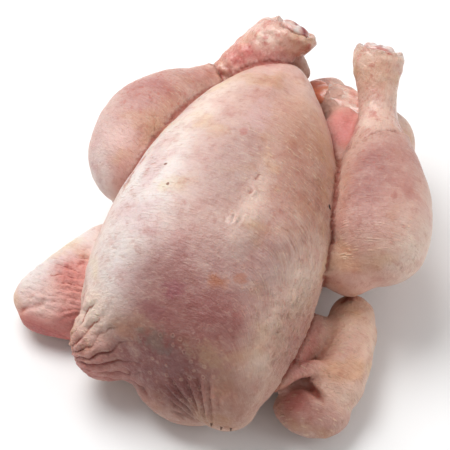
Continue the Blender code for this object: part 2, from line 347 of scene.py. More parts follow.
# Skin. Raw plucked skin over all of the masses in one piece. It is tight over the breast
# and the drumsticks, spans the hollows behind them, and is slack at the neck and the wings.
SKIN_GRID = 1.6 * MM
FLAT_HEIGHT = 1.2
GATHER = np.array([-59.0, -99.0, 24.0])     # towards where the left shoulder skin is drawn under
NECK = np.array([36.0, -114.0, 12.0])       # towards where the neck skin is drawn under

bpy.ops.object.select_all(action="DESELECT")
for piece in masses:
    piece.select_set(True)
bpy.context.view_layer.objects.active = masses[0]
bpy.ops.object.join()
skin = bpy.context.object
skin.name = "skin"
remesh = skin.modifiers.new("one_skin", "REMESH")
remesh.mode = "VOXEL"
remesh.voxel_size = SKIN_GRID
bpy.ops.object.modifier_apply(modifier=remesh.name)
bpy.ops.object.shade_smooth()
mesh = skin.data


def read_points():
    """Return the points of the skin in station units, and which of them are joined by edges."""
    values = np.empty(len(mesh.vertices) * 3)
    mesh.vertices.foreach_get("co", values)
    ends = np.empty(len(mesh.edges) * 2, dtype=np.int64)
    mesh.edges.foreach_get("vertices", ends)
    return (values.reshape(-1, 3) - KEEL_POINT) / UNIT, ends.reshape(-1, 2).T


def write_points():
    """Put the points in the mesh, in metres, and return its normals."""
    P[:, 2] = np.maximum(P[:, 2], FLAT_HEIGHT)
    mesh.vertices.foreach_set("co", (P * UNIT + KEEL_POINT).ravel())
    mesh.update()
    normals = np.empty(len(P) * 3, dtype=np.float32)
    mesh.vertex_normals.foreach_get("vector", normals)
    return normals.reshape(-1, 3).astype(float)


def smoothed(values, rounds, weight):
    """Draw each value towards the mean of its neighbours, by its weight, over some rounds."""
    values = values.copy()
    neighbours = np.bincount(joined.ravel(), minlength=len(P))
    first, second = joined
    for _ in range(rounds):
        total = np.zeros_like(values)
        for axis in range(values.shape[1]):
            column = values[:, axis]
            total[:, axis] = (np.bincount(first, column[second], len(P))
                              + np.bincount(second, column[first], len(P)))
        values += weight[:, None] * (total / neighbours[:, None] - values)
    return values


def near(centre, radii):
    """Return a soft spot: 1 at its centre, falling to nearly 0 at twice the radius."""
    offset = (P - np.array(centre, float)) / np.array(radii, float)
    return np.exp(-np.sum(offset**2, axis=1))


def ramp(values, start, end):
    """Return a smooth step from 0 at start to 1 at end."""
    t = np.clip((values - start) / (end - start), 0, 1)
    return t * t * (3 - 2 * t)


def uneven(scale, seed, places=None):
    """Return smooth noise from -1 to 1 over the skin, at a scale in station units."""
    shift = Vector((seed * 17.3, seed * 5.1, seed * 9.7))
    return np.array([noise.noise(Vector(at) / scale + shift) for at in (P if places is None else places)])


P, joined = read_points()
P = smoothed(P, 3, np.full(len(P), 0.5))
slack = np.clip(
    near((-37, -80, 32), (30, 26, 30)) + near((30, -96, 34), (20, 20, 30))
    + 0.3 * near((82, -50, 18), (20, 50, 20)) + near((-80, -52, 18), (26, 34, 20))
    + near((60, 95, 40), (34, 24, 30)) + near((-44, 92, 40), (34, 24, 30))
    + near((5, 105, 35), (36, 34, 26)) + 0.6 * near((70, -12, 58), (16, 14, 18)), 0, 1)
P = smoothed(P, 18, 0.5 * slack)
N = write_points()

# The folded parts get a finer mesh.
fine = (near((-46, -84, 38), (26, 24, 32)) + near((-78, -45, 26), (26, 34, 18))
        + near((74, -58, 26), (24, 30, 18)) + near((26, -100, 46), (26, 14, 26))
        + near((58, 78, 84), (18, 30, 18)) + near((50, 116, 90), (18, 18, 18))
        + near((-26, 96, 76), (18, 18, 16)) + near((-4, 116, 86), (18, 18, 18))
        + near((60, -58, 58), (11, 36, 26)) + near((0, -100, 38), (28, 12, 24))
        + near((34, 100, 56), (20, 20, 16)) + near((19, -28, 104), (9, 22, 9)))
corners = np.empty(len(mesh.polygons) * 4, dtype=np.int64)
mesh.polygons.foreach_get("vertices", corners)
chosen = fine[corners.reshape(-1, 4)].mean(axis=1) > 0.45
bpy.ops.object.mode_set(mode="EDIT")
bpy.ops.mesh.select_mode(type="FACE")
bpy.ops.mesh.select_all(action="DESELECT")
bpy.ops.object.mode_set(mode="OBJECT")
mesh.polygons.foreach_set("select", chosen)
bpy.ops.object.mode_set(mode="EDIT")
bpy.ops.mesh.subdivide(number_cuts=1, smoothness=0)
bpy.ops.mesh.select_all(action="DESELECT")
bpy.ops.object.mode_set(mode="OBJECT")
P, joined = read_points()
P = smoothed(P, 2, np.full(len(P), 0.5))
N = write_points()

# How far each point lies from each mass tells the masses and the creases between them apart.
GROUPS = ["trunk", "right leg", "left leg", "right wing", "left wing", "tail"]
reach = {}
for group in GROUPS:
    points = np.concatenate(mass_points[group])
    tree = KDTree(len(points))
    for number, point in enumerate(points):
        tree.insert(point, number)
    tree.balance()
    reach[group] = np.array([tree.find(point)[2] for point in P])
nearest = np.sort(np.column_stack([reach[group] for group in GROUPS]), axis=1)
share_of = {group: np.exp(-((reach[group] - nearest[:, 0]) / 2.5) ** 2) for group in GROUPS}
total_share = sum(share_of.values())
for group in GROUPS:
    share_of[group] = smoothed((share_of[group] / total_share)[:, None], 4, np.full(len(P), 0.5))[:, 0]
crease = np.exp(-(nearest[:, 1] / 3.2) ** 2)


def along_path(path, ends=0.25):
    """Return how far each point is from a smooth path, and how full the path is beside it."""
    path = np.array(path, float)
    steps = np.concatenate([[0], np.cumsum(np.linalg.norm(np.diff(path, axis=0), axis=1))])
    path = through(steps, path, np.linspace(0, steps[-1], 24))
    distance = np.full(len(P), 1e9)
    share = np.zeros(len(P))
    for number in range(23):
        leg = path[number + 1] - path[number]
        t = np.clip((P - path[number]) @ leg / (leg @ leg), 0, 1)
        gap = np.linalg.norm(P - path[number] - t[:, None] * leg, axis=1)
        closer = gap < distance
        distance[closer] = gap[closer]
        share[closer] = (number + t[closer]) / 23
    return distance, ramp(share, 0, ends) * ramp(1 - share, 0, ends)


def furrow(path, width, depth, ends=0.25):
    """Return the relief of a furrow with a soft lip on both sides, and how deep in it one is."""
    distance, full = along_path(path, ends)
    inside = np.exp(-(distance / width) ** 2) * full
    lip = np.exp(-((distance - 2.1 * width) / width) ** 2) * full
    return depth * (0.4 * lip - inside), inside


def pleats(phase):
    """Return rounded ridges with sharp valleys between them, from about -0.6 to 0.4."""
    return np.abs(np.sin(phase / 2)) ** 0.75 - 0.6


broad, middling, small = uneven(34, 1), uneven(13, 2), uneven(5, 3)
tiny = uneven(2.6, 4)
relief = 1.1 * broad + 0.45 * middling + 0.2 * small + 0.1 * tiny
# Painted shade for the creases, pleat valleys and seams, gathered as they are pressed in.
crease_shade = np.zeros(len(P))

# The creases between the masses are pressed in along the line where two of them meet, and get painted shade.
PAIRS = [("trunk", "right wing", 2.2), ("trunk", "left wing", 1.6), ("trunk", "right leg", 1.9),
         ("trunk", "left leg", 1.3), ("right leg", "right wing", 1.6), ("trunk", "tail", 0.6)]
for one, other, depth in PAIRS:
    seam = (np.exp(-((reach[one] - reach[other]) / 1.7) ** 2)
            * np.exp(-((reach[one] + reach[other]) / 11) ** 2))
    relief -= depth * seam
    crease_shade = np.maximum(crease_shade, 0.8 * seam)


def press(path, width, depth, tone=0.8, ends=0.25):
    """Press a furrow into the relief, and keep its painted shade, as strong as its tone, among the creases."""
    global relief, crease_shade
    height, inside = furrow(path, width, depth, ends)
    relief = relief + height
    crease_shade = np.maximum(crease_shade, inside * tone)


# Left shoulder: the skin is gathered in knobbly rolls that run up and round from its corner.
upward = np.array([-31, -83, 71]) - GATHER
upward /= np.linalg.norm(upward)
rightward = np.array([-16, -97, 45]) - GATHER
rightward -= upward * (rightward @ upward)
rightward /= np.linalg.norm(rightward)
from_gather = P - GATHER
turn = np.arctan2(from_gather @ upward, from_gather @ rightward)
gap = np.linalg.norm(from_gather, axis=1)
gathered = pleats(2 * math.pi * turn / 0.19 + 2.4 * middling + 1.6 * small)
strength = ramp(gap, 8, 18) * (1 - ramp(gap, 34, 66)) * ramp(share_of["trunk"], 0.3, 0.8)
strength *= 0.4 + 0.6 * ramp(uneven(12, 5) + 0.25, -0.1, 0.4)
relief += 2.3 * strength * gathered
knobs = near((-45, -92, 42), (17, 16, 26)) * share_of["trunk"]
relief += knobs * (1.6 * np.maximum(0, tiny) + 1.3 * small)
crease_shade = np.maximum(crease_shade, strength * np.clip(-2.2 * gathered, 0, 1))

# Neck end: finer pleats fan up over the crop from the skin folded under the bird.
from_neck = P - NECK
fan = np.arctan2(from_neck[:, 0], from_neck[:, 2])
gap = np.linalg.norm(from_neck, axis=1)
fanned = pleats(2 * math.pi * fan / 0.16 + 1.5 * middling + 0.9 * small)
strength = ramp(gap, 6, 14) * (1 - ramp(gap, 34, 58)) * ramp(-N[:, 1], 0.1, 0.5)
strength *= 0.12 + 0.88 * ramp(near((20, -102, 44), (15, 30, 22)), 0.1, 0.7)
relief += 2.5 * strength * fanned
crease_shade = np.maximum(crease_shade, 0.8 * strength * np.clip(-1.6 * fanned, 0, 1))
press([(-28, -94, 18), (-8, -102, 15), (14, -106, 14), (34, -106, 17)], 2.6, 2.2)
press([(-20, -98, 27), (2, -102, 24), (24, -106, 24)], 1.6, 1.0)

# Left wing: slack skin in level wrinkles over the web between its three parts.
level = (P[:, 1] * 0.72 + P[:, 2] * 0.64) - 0.15 * P[:, 0]
wrinkled = pleats(2 * math.pi * level / 3.6 + 4.4 * middling + 2.6 * small)
strength = share_of["left wing"] * near((-71, -48, 31), (19, 20, 18)) * (0.5 + 0.5 * ramp(uneven(9, 8), -0.3, 0.3))
relief += 2.0 * strength * wrinkled + 1.0 * strength * tiny
crease_shade = np.maximum(crease_shade, strength * np.clip(-1.8 * wrinkled, 0, 1))

# Ankles: the drumstick's skin ends in a thin edge, and the shank beyond it is bare and wet.
shin_line = P @ np.array([-0.32, 0.92, 0.2])
right_edge = shin_line - 50.5 - 0.44 * (P[:, 0] - 63) + 1.6 * small + 0.8 * tiny
right_shank = share_of["right leg"] * ramp(P[:, 2], 66, 72) * ramp(right_edge, -0.9, 0.7)
relief += share_of["right leg"] * ramp(P[:, 2], 66, 72) * 1.2 * np.exp(-((right_edge + 0.8) / 1.2) ** 2)
relief -= 0.9 * right_shank
left_line = (P - np.array([-35, 86, 74])) @ np.array([0.6, 0.74, 0.31])
left_edge = left_line + 1.4 * small + 0.6 * tiny
left_shank = share_of["left leg"] * ramp(P[:, 2], 50, 58) * ramp(left_edge, -0.9, 0.7)
relief += share_of["left leg"] * ramp(P[:, 2], 50, 58) * 0.9 * np.exp(-((left_edge + 1) / 1.4) ** 2)
relief -= 0.9 * left_shank
for edge, shank, group, floor_of_it in ((right_edge, right_shank, "right leg", 66),
                                        (left_edge, left_shank, "left leg", 50)):
    line = share_of[group] * ramp(P[:, 2], floor_of_it, floor_of_it + 6) * np.exp(-((edge - 0.9) / 1.3) ** 2)
    relief -= 1.5 * line
    crease_shade = np.maximum(crease_shade, 0.55 * line)
bare = np.clip(right_shank + left_shank, 0, 1)
herringbone = pleats(2 * math.pi * (shin_line + 0.6 * np.abs(P[:, 0] - 57)) / 3.4 + 2 * small)
relief += 0.22 * right_shank * herringbone * (1 - ramp(P[:, 1], 80, 96))
shank_folds = pleats(2 * math.pi * left_line / 6.5 + 2.5 * small + 3 * middling)
relief += 0.4 * left_shank * shank_folds * (1 - ramp(P[:, 1], 104, 112))
relief += (0.25 * right_shank + 0.55 * left_shank) * small

# Hocks: a rolled rim of skin round the cut, and the joint set back inside it.
hocks = []
rim_of_hocks = np.zeros(len(P))
for stations, cut, group in ((right_shin, RIGHT_CUT, "right leg"), (left_shin, LEFT_CUT, "left leg")):
    middle, facing, side, aloft = cut_face(stations, cut)
    offset = P - middle
    out, ring = offset @ facing, np.hypot(offset @ side, offset @ aloft)
    close = share_of[group] * np.exp(-(out / 6) ** 2)
    face = close * (1 - ramp(ring, 8.0, 11.0))
    rim = close * np.exp(-((ring - 12.2) / 1.8) ** 2)
    relief += rim * (0.9 + 0.9 * small + 0.6 * tiny) - 1.2 * face
    rim_of_hocks = rim_of_hocks + np.clip(face + rim, 0, 1)
    hocks.append((middle, facing, side, aloft))

# Creases and marks: the keel, elbow and wrist folds, the web of the right wing, a healed scar.
press([(1, 92, 84), (3, 70, 93), (6, 44, 103)], 2.2, -0.7, tone=0)
press([(10, 90, 84), (13, 70, 91), (15, 52, 97)], 4.0, 0.8, tone=0)
press([(30, -22, 101), (33, -30, 100), (32, -49, 97), (28, -62, 92)], 5.0, 1.0, tone=0.05)
press([(58, -70, 20), (67, -65, 21), (76, -71, 25), (84, -77, 26)], 2.0, 2.8, tone=0.8, ends=0.3)
relief += share_of["right wing"] * near((86, -40, 30), (16, 44, 16)) * (0.8 * middling + 0.7 * small)
press([(67, -14, 30), (74, -12, 30), (82, -14, 26)], 2.0, 0.8)
press([(-75, -66, 29), (-84, -68, 24), (-96, -72, 18)], 1.6, 1.3)
press([(-58, -62, 26), (-68, -68, 24), (-80, -73, 19)], 1.4, 1.0)
press([(-50, 84, 62), (-44, 84, 72), (-38, 85, 76), (-32, 84, 75), (-26, 80, 72)], 2.0, 2.4)
press([(-36, 90, 75), (-31, 89, 76), (-27, 86, 74)], 1.2, 0.9)
press([(16, -34, 105), (16, -37, 104), (17, -40, 103)], 0.8, -1.0, tone=0)
press([(19, -33, 105), (20, -36, 104), (19, -39, 103)], 0.8, -0.9, tone=0)
press([(17, -35, 105), (18, -37, 104), (18, -40, 103)], 0.7, 0.8, tone=0.4)
press([(19, -16, 106), (21, -18, 106), (20, -21, 106)], 0.9, 1.2, tone=0.9)
press([(20, -5, 107), (21, -9, 107), (20, -12, 107)], 0.8, 0.8, tone=0.7)
press([(-46, -9, 87), (-49, -15, 84), (-50, -23, 82)], 1.0, 1.0, tone=0.9)
press([(-44, 0, 89), (-47, -6, 87)], 0.8, 0.7, tone=0.7)
relief += 0.9 * near((22, -18, 106), (1.8, 1.8, 3)) + 0.8 * near((20, -48, 101), (1.8, 1.8, 3))
relief += 2.6 * near((0, 98, 80), (13, 9, 12)) * share_of["trunk"]
flank = 2 * math.pi * (P[:, 2] * 0.9 - P[:, 1] * 0.35) / 3.6 + 3.5 * middling + 2.2 * small
flank_spot = np.clip(1.3 * near((60, -58, 60), (13, 40, 30)), 0, 1) * share_of["trunk"]
relief += flank_spot * (0.8 * pleats(flank) + 0.9 * small + 0.7 * tiny)

# Back, rump and tail: the same slack skin, folded beside the tail and under the thighs.
press([(-30, 104, 24), (-18, 114, 28), (-8, 118, 38)], 2.2, 1.4)
press([(38, 108, 24), (24, 118, 30), (14, 126, 40)], 2.2, 1.4)
press([(-10, 122, 30), (2, 130, 27), (14, 126, 34)], 1.6, 1.3)
press([(-6, 106, 50), (6, 112, 52), (16, 118, 56)], 2.0, 1.5)
rump = near((4, 116, 28), (30, 22, 24))
relief += 0.9 * rump * pleats(2 * math.pi * (P[:, 2] + 0.3 * P[:, 0]) / 5.4 + 3 * middling + small)
relief += 0.9 * near((2, 128, 40), (9, 9, 8))

P += N * relief[:, None]
N = write_points()
P = smoothed(P, 1, np.full(len(P), 0.25))
N = write_points()


def linear(hex_colour):
    """Turn an sRGB hex colour into a linear one."""
    parts = [int(hex_colour[i:i + 2], 16) / 255 for i in (1, 3, 5)]
    return [c / 12.92 if c <= 0.04045 else ((c + 0.055) / 1.055) ** 2.4 for c in parts] + [1.0]


def add_node(tree, kind, settings=None, links=None, **inputs):
    """Add a node with its settings, its input values and its links from other sockets."""
    node = tree.nodes.new(kind)
    for name, value in (settings or {}).items():
        setattr(node, name, value)
    for name, value in inputs.items():
        node.inputs[name.replace("_", " ")].default_value = value
    for name, socket in (links or {}).items():
        tree.links.new(node.inputs[name], socket)
    return node


def noise_node(tree, vector, size, detail=2.0, roughness=0.55):
    """Add soft noise whose features are about as large as the size."""
    return add_node(tree, "ShaderNodeTexNoise", links={"Vector": vector}, Scale=1 / size,
                    Detail=detail, Roughness=roughness).outputs["Fac"]


def cells_node(tree, vector, size, randomness=0.85):
    """Add the distance to the middle of the nearest of many cells, each of about the size."""
    return add_node(tree, "ShaderNodeTexVoronoi", links={"Vector": vector}, Scale=1 / size,
                    Randomness=randomness).outputs["Distance"]


def span_node(tree, value, start, end, low=0.0, high=1.0):
    """Carry a value smoothly from low at start to high at end."""
    return add_node(tree, "ShaderNodeMapRange", {"interpolation_type": "SMOOTHSTEP"},
                    {"Value": value}, From_Min=start, From_Max=end, To_Min=low,
                    To_Max=high).outputs["Result"]


def sum_node(tree, operation, first, second):
    """Add a sum of two values, either of which may be a plain number."""
    node = tree.nodes.new("ShaderNodeMath")
    node.operation = operation
    for socket, value in zip(node.inputs, (first, second)):
        if isinstance(value, (int, float)):
            socket.default_value = value
        else:
            tree.links.new(socket, value)
    return node.outputs["Value"]


def mix_node(tree, amount, first, second, blend="MIX"):
    """Mix two colours, each a hex colour or a socket, by an amount that is a number or a socket."""
    node = tree.nodes.new("ShaderNodeMix")
    node.data_type = "RGBA"
    node.blend_type = blend
    for socket, value in ((node.inputs[0], amount), (node.inputs[6], first), (node.inputs[7], second)):
        if isinstance(value, str):
            socket.default_value = linear(value)
        elif isinstance(value, (int, float)):
            socket.default_value = value
        else:
            tree.links.new(socket, value)
    return node.outputs[2]


def bump_node(tree, height, distance, under=None):
    """Add a bump of a real height, over another one if given."""
    links = {"Height": height}
    if under is not None:
        links["Normal"] = under
    return add_node(tree, "ShaderNodeBump", links=links, Distance=distance).outputs["Normal"]


def attribute_node(tree, name):
    """Read a value that was painted on the points."""
    return add_node(tree, "ShaderNodeAttribute", {"attribute_name": name})


def paint(name, values):
    """Keep a value from 0 to 1 on every point of the skin, for its material to read."""
    attribute = mesh.attributes.new(name, "FLOAT", "POINT")
    attribute.data.foreach_set("value", np.clip(values, 0, 1).astype(np.float32))


# The skin's tones. It is thin, so it takes the colour of what lies under it: white over fat,
# pink over thin muscle, mauve over thick muscle, and plum where the neck end is bruised.
# The neck end also faces away from the light, so its mauve and plum are partly painted shade.
SKIN_TONES = {
    "white fat": "#e4dcd8", "cream": "#e8d0c0", "pale pink": "#dcb8b0", "pink": "#be9088",
    "rose": "#b07870", "mauve": "#945c58", "plum": "#7c3c38", "ochre": "#c8987c",
    "tan": "#a87460", "peach": "#e0a494", "flesh": "#cc706a", "raw red": "#b04c4c", "dusk": "#a0827c",
    "salmon": "#d6887c", "apricot": "#f0c4a4",
}
# Each layer is a tone, its middle, its reach along the three axes, and how thickly it lies.
PAINTING = {
    "trunk": [
        ("pink", (0, -10, 105), (70, 110, 50), 0.6),
        ("white fat", (-34, -10, 96), (24, 70, 26), 0.9),
        ("dusk", (8, -5, 110), (16, 34, 14), 0.6),
        ("cream", (-24, 44, 98), (20, 40, 16), 0.6),
        ("pink", (0, 62, 98), (12, 30, 14), 0.5),
        ("pink", (-10, 8, 106), (10, 26, 12), 0.4),
        ("ochre", (28, 50, 94), (16, 26, 14), 0.5),
        ("cream", (24, -36, 101), (6, 34, 10), 0.6),
        ("mauve", (37, -46, 94), (8, 16, 8), 0.35),
        ("tan", (38, 20, 96), (18, 34, 16), 0.7),
        ("tan", (52, -12, 88), (12, 26, 16), 0.7),
        ("pale pink", (2, 90, 84), (16, 14, 12), 0.5),
        ("rose", (26, -60, 92), (24, 20, 14), 0.35),
        ("dusk", (30, -54, 92), (34, 26, 14), 0.6),
        # Neck end: bruised, and turned away from the light; the mauve and plum here are partly bruising and partly
        # painted shade.
        ("mauve", (-4, -70, 90), (20, 14, 14), 0.7),
        ("mauve", (14, -84, 80), (34, 16, 14), 0.8),
        ("plum", (2, -98, 50), (38, 20, 30), 0.95),
        ("white fat", (-38, -70, 76), (15, 18, 20), 0.7),
        ("cream", (-44, -84, 58), (12, 12, 16), 0.9),
        ("flesh", (-42, -92, 38), (14, 10, 14), 0.3),
        # Under the left shoulder's corner, where the neck skin tucks under, the rose and flesh are partly redder
        # skin and partly painted shade.
        ("rose", (-30, -98, 26), (17, 10, 14), 0.8),
        ("flesh", (-40, -96, 30), (14, 9, 11), 0.4),
        ("tan", (40, -106, 44), (12, 12, 16), 0.6),
        ("cream", (54, -82, 66), (9, 12, 12), 0.6),
        ("cream", (58, -42, 76), (9, 26, 12), 0.6),
        ("ochre", (56, -64, 62), (10, 28, 18), 0.5),
        ("rose", (60, -60, 48), (12, 22, 14), 0.7),
    ],
    "right leg": [
        ("rose", (76, 26, 82), (26, 44, 22), 0.7),
        ("mauve", (70, 30, 86), (12, 24, 14), 0.6),
        ("ochre", (54, 0, 76), (7, 30, 12), 0.6),
        ("cream", (104, 6, 60), (14, 34, 26), 0.7),
        ("peach", (84, -18, 52), (22, 12, 20), 0.5),
        ("rose", (50, 72, 60), (12, 16, 14), 0.8),
        ("rose", (84, 58, 62), (15, 20, 20), 0.55),
        ("flesh", (40, 80, 58), (12, 16, 14), 0.8),
        ("cream", (55, 76, 82), (9, 12, 8), 0.6),
        ("ochre", (54, 98, 92), (10, 12, 12), 0.6),
    ],
    "left leg": [
        ("pink", (-58, 28, 80), (28, 52, 26), 0.95),
        ("rose", (-56, 36, 88), (12, 24, 10), 0.6),
        ("pale pink", (-68, 8, 74), (14, 22, 16), 0.7),
        ("white fat", (-72, -6, 56), (14, 16, 20), 0.6),
        ("peach", (-54, 0, 68), (12, 18, 18), 0.6),
        ("ochre", (-44, 28, 87), (9, 28, 10), 0.6),
        # Painted light: the left leg's left edge, which faces the light, is whitened.
        ("white fat", (-80, 22, 64), (9, 34, 18), 0.3),
        ("rose", (-38, 74, 78), (14, 12, 10), 0.7),
        ("peach", (-18, 100, 82), (26, 18, 18), 0.7),
        ("pale pink", (-20, 98, 86), (22, 16, 12), 0.4),
        ("flesh", (-14, 96, 80), (22, 8, 10), 0.8),
        ("cream", (-14, 103, 92), (7, 7, 5), 0.7),
        ("rose", (8, 106, 82), (8, 8, 10), 0.6),
    ],
    "left wing": [
        ("white fat", (-80, -34, 28), (26, 26, 14), 1.0),
        ("white fat", (-90, -54, 30), (12, 12, 10), 0.8),
        ("salmon", (-67, -50, 33), (15, 22, 12), 0.85),
        ("pale pink", (-80, -66, 26), (18, 8, 10), 0.7),
        ("flesh", (-82, -76, 14), (24, 8, 9), 0.8),
        ("raw red", (-86, -78, 12), (26, 7, 8), 0.75),
        ("flesh", (-62, -70, 20), (10, 10, 12), 0.7),
    ],
    "right wing": [
        ("cream", (84, -38, 30), (16, 34, 14), 0.6),
        ("apricot", (82, -38, 32), (14, 34, 14), 0.55),
        ("peach", (82, -56, 32), (14, 12, 10), 0.4),
        ("rose", (78, -82, 18), (18, 9, 12), 0.7),
        ("pink", (86, -44, 32), (6, 22, 8), 0.5),
        ("flesh", (66, -76, 22), (9, 8, 8), 0.6),
        ("peach", (74, -6, 28), (11, 8, 10), 0.7),
        ("flesh", (60, -54, 34), (12, 26, 12), 0.7),
        ("mauve", (58, -34, 26), (8, 12, 10), 0.5),
        ("ochre", (78, -12, 30), (12, 8, 10), 0.5),
    ],
    "tail": [
        ("peach", (34, 104, 46), (13, 12, 12), 0.7),
        ("rose", (20, 110, 54), (14, 12, 10), 0.6),
        ("ochre", (2, 126, 36), (16, 14, 14), 0.6),
    ],
}
painted = np.tile(linear("#d8b4a2")[:3], (len(P), 1))
for group, layers in PAINTING.items():
    for tone, middle, spread, thickness in layers:
        cover = thickness * share_of[group] * np.clip(1.4 * near(middle, spread), 0, 1)
        painted += cover[:, None] * (np.array(linear(SKIN_TONES[tone])[:3]) - painted)
tint = mesh.attributes.new("tint", "FLOAT_COLOR", "POINT")
tint.data.foreach_set("color", np.column_stack([painted, np.ones(len(P))]).astype(np.float32).ravel())

# The fine lines of the skin run round each mass, so they are drawn along its own direction.
RUNS = {
    "trunk": ((0, 0, 60), (0.05, 1.0, 0.0)), "tail": ((0, 110, 30), (0.1, 0.8, 0.6)),
    "right leg": ((75, 20, 55), (-0.2, 0.95, 0.15)), "left leg": ((-60, 20, 55), (0.25, 0.93, 0.2)),
    "right wing": ((80, -40, 20), (0.05, 1.0, 0.0)), "left wing": ((-75, -45, 20), (0.1, 0.75, 0.65)),
}
flank_share = share_of["trunk"] * near((62, -60, 58), (16, 40, 32))
grain = np.zeros((len(P), 3))
for group, (origin, run) in [*RUNS.items(), ("flank", ((58, -60, 60), (0.1, -0.4, 0.9)))]:
    weight = flank_share if group == "flank" else share_of[group]
    if group == "trunk":
        weight = weight - flank_share
    run = np.array(run) / np.linalg.norm(run)
    offset = P - np.array(origin, float)
    grain += weight[:, None] * (0.2 * offset + 0.8 * (offset @ run)[:, None] * run)
for shank, run in ((right_shank, (-0.2, 0.93, 0.3)), (left_shank, (0.6, 0.74, 0.31))):
    run = np.array(run) / np.linalg.norm(run)
    lengthwise = P - 0.86 * (P @ run)[:, None] * run
    grain += shank[:, None] * (lengthwise - grain)
grain_attribute = mesh.attributes.new("grain", "FLOAT_VECTOR", "POINT")
grain_attribute.data.foreach_set("vector", (grain * UNIT).astype(np.float32).ravel())

# Painted shade: the creases, pleat valleys and the seams between the masses are marked to be coloured darker and
# redder.
paint("crease_shade", np.clip(crease_shade + 0.3 * crease, 0, 1))
paint("bare", 0.55 * right_shank + left_shank + rim_of_hocks)
paint("crumple", near((-45, -92, 42), (22, 20, 32)) + 0.9 * flank_spot + 0.8 * near((20, -104, 36), (34, 12, 24))
      + 0.8 * share_of["left wing"] * near((-72, -54, 28), (26, 26, 20)) + 0.6 * share_of["right wing"]
      + 0.5 * share_of["tail"] + 0.6 * near((102, 0, 60), (12, 40, 26)) + 0.7 * crease + rim_of_hocks)
paint("pores", near((-40, -6, 88), (16, 60, 24)) + near((52, -10, 86), (14, 50, 20))
      + 0.6 * near((-50, 70, 84), (20, 20, 12)) + 0.3 * near((66, 40, 84), (12, 16, 10)) + 0.05)
paint("follicles", near((-60, 52, 78), (24, 28, 20)) + 0.5 * near((66, 40, 86), (14, 22, 10)))
paint("rings", near((12, -98, 52), (34, 16, 30)) + 0.5 * near((30, -60, 90), (20, 20, 20)))
paint("speckle", near((56, -62, 64), (18, 40, 34)) + near((-42, -88, 50), (16, 14, 30))
      + 0.8 * share_of["right wing"] + 0.6 * near((100, -5, 66), (18, 34, 24))
      + 0.8 * near((30, 24, 98), (26, 56, 22)) + 0.7 * near((-44, 44, 90), (12, 44, 14))
      + 0.8 * near((70, -12, 66), (16, 14, 20)) + 0.12)

raw_skin = bpy.data.materials.new("raw_skin")
raw_skin.use_nodes = True
tree = raw_skin.node_tree
shader = tree.nodes["Principled BSDF"]
place = add_node(tree, "ShaderNodeTexCoord").outputs["Object"]
lines = attribute_node(tree, "grain").outputs["Vector"]
crease_shade_amount = attribute_node(tree, "crease_shade").outputs["Fac"]
bare_amount = attribute_node(tree, "bare").outputs["Fac"]
pore_amount = attribute_node(tree, "pores").outputs["Fac"]
ring_amount = attribute_node(tree, "rings").outputs["Fac"]
speckle_amount = attribute_node(tree, "speckle").outputs["Fac"]
crumple_amount = attribute_node(tree, "crumple").outputs["Fac"]
follicle_amount = attribute_node(tree, "follicles").outputs["Fac"]

colour = attribute_node(tree, "tint").outputs["Color"]
patches = noise_node(tree, place, 24 * MM, 2, 0.5)
colour = mix_node(tree, span_node(tree, patches, 0.52, 0.68, 0, 0.45), colour, "#eac6ca", "MULTIPLY")
colour = mix_node(tree, span_node(tree, patches, 0.46, 0.3, 0, 0.6), colour, "#faf0cc", "MULTIPLY")
clouds = noise_node(tree, place, 11 * MM, 4, 0.62)
colour = mix_node(tree, span_node(tree, clouds, 0.5, 0.7, 0, 0.5), colour, "#e8ccc8", "MULTIPLY")
colour = mix_node(tree, span_node(tree, clouds, 0.48, 0.3, 0, 0.12), colour, "#f3e2cf")
blotches = noise_node(tree, place, 4.5 * MM, 4, 0.65)
colour = mix_node(tree, span_node(tree, blotches, 0.53, 0.7, 0, 0.4), colour, "#dab0a8", "MULTIPLY")
colour = mix_node(tree, span_node(tree, blotches, 0.45, 0.28, 0, 0.1), colour, "#f3dfd0")
fibres = noise_node(tree, lines, 0.8 * MM, 4, 0.7)
lined = sum_node(tree, "ADD", 1.0, sum_node(tree, "MULTIPLY", speckle_amount, 0.25))
thin_lines = sum_node(tree, "MULTIPLY", span_node(tree, fibres, 0.5, 0.68, 0, 0.18), lined)
colour = mix_node(tree, thin_lines, colour, "#d59f94", "MULTIPLY")
thick_lines = sum_node(tree, "MULTIPLY", span_node(tree, fibres, 0.49, 0.32, 0, 0.08), lined)
colour = mix_node(tree, thick_lines, colour, "#f8e6d4")
wandering = sum_node(tree, "SUBTRACT", noise_node(tree, lines, 2.4 * MM, 2, 0.5), 0.5)
hairline = span_node(tree, sum_node(tree, "ABSOLUTE", wandering, 0.0), 0.03, 0.0)
hairline = sum_node(tree, "MULTIPLY", hairline, span_node(tree, noise_node(tree, place, 7 * MM), 0.42, 0.6))
hairline = sum_node(tree, "MULTIPLY", hairline, span_node(tree, pore_amount, 0.0, 1.0, 0.35, 1.0))
colour = mix_node(tree, sum_node(tree, "MULTIPLY", hairline, 0.42), colour, "#d29c84", "MULTIPLY")
dots = span_node(tree, cells_node(tree, lines, 1.1 * MM, 1.0), 0.5, 0.15)
dots = sum_node(tree, "MULTIPLY", dots, span_node(tree, noise_node(tree, place, 3 * MM), 0.4, 0.65))
dots = sum_node(tree, "MULTIPLY", dots, speckle_amount)
colour = mix_node(tree, sum_node(tree, "MULTIPLY", dots, 0.5), colour, "#ecd0b0")
follicle = cells_node(tree, place, 4.2 * MM, 0.8)
ring = sum_node(tree, "MULTIPLY", span_node(tree, follicle, 0.08, 0.2),
                span_node(tree, follicle, 0.36, 0.22))
ring = sum_node(tree, "MULTIPLY", ring, ring_amount)
ring = sum_node(tree, "MULTIPLY", ring, span_node(tree, noise_node(tree, place, 5 * MM), 0.3, 0.55))
colour = mix_node(tree, sum_node(tree, "MULTIPLY", ring, 0.32), colour, "#dcb49c")
